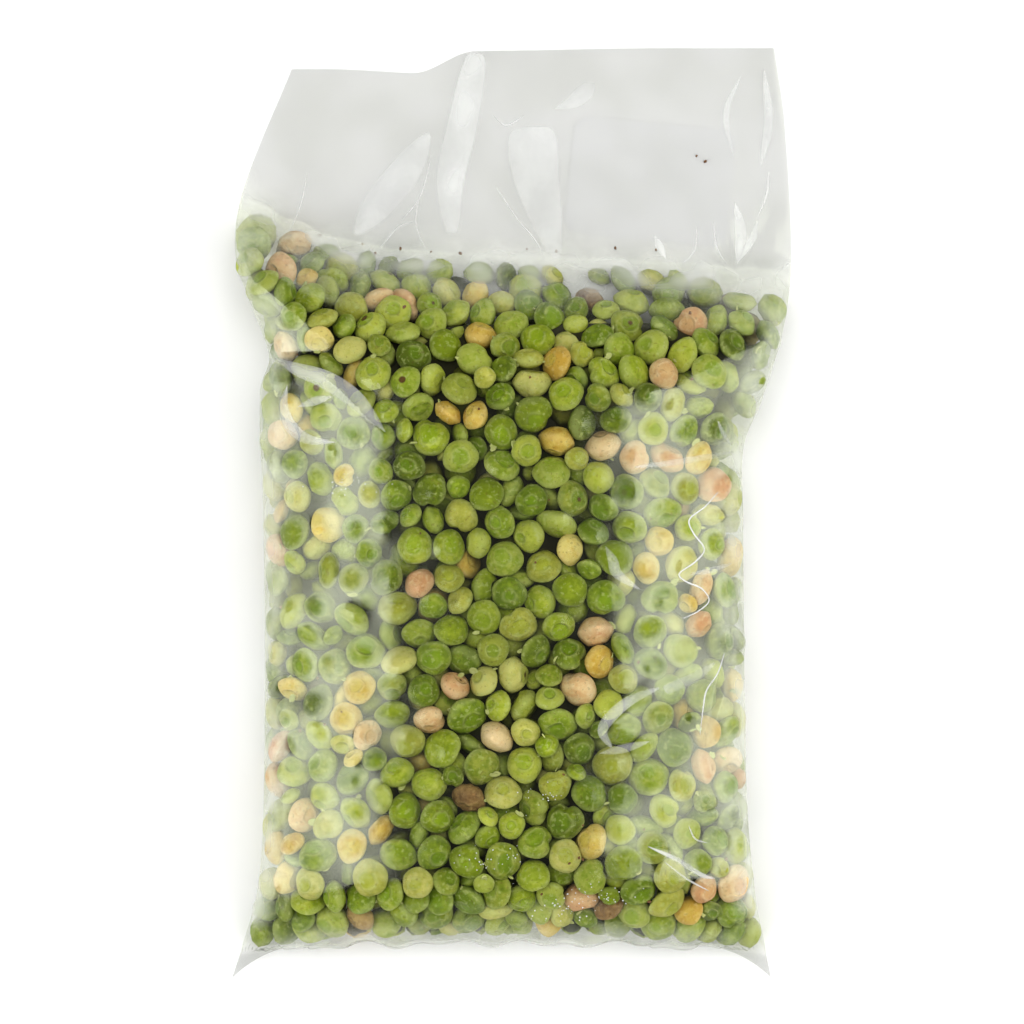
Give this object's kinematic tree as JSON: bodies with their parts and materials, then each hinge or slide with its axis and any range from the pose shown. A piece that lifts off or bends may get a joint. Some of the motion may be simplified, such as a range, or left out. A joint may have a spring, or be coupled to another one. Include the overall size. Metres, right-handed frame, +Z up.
{
  "type": "clear bag of frozen peas",
  "caption": "Clear plastic pillow bag filled with frozen green peas, with flat empty film above the peas, lying on its back.",
  "frame": {"origin": "under the middle of the bag, on the surface that it lies on", "axes": "+X across the bag to its right side, +Y along the bag to its empty upper end, +Z up out of its front"},
  "size_m": [0.1512, 0.2517, 0.04],
  "materials": {
    "filled_film": "clear glossy film over green peas",
    "label": "plain matte"
  },
  "bodies": {
    "root": {"pea_bag": "filled_film", "label": "label"}
  },
  "joints": []
}
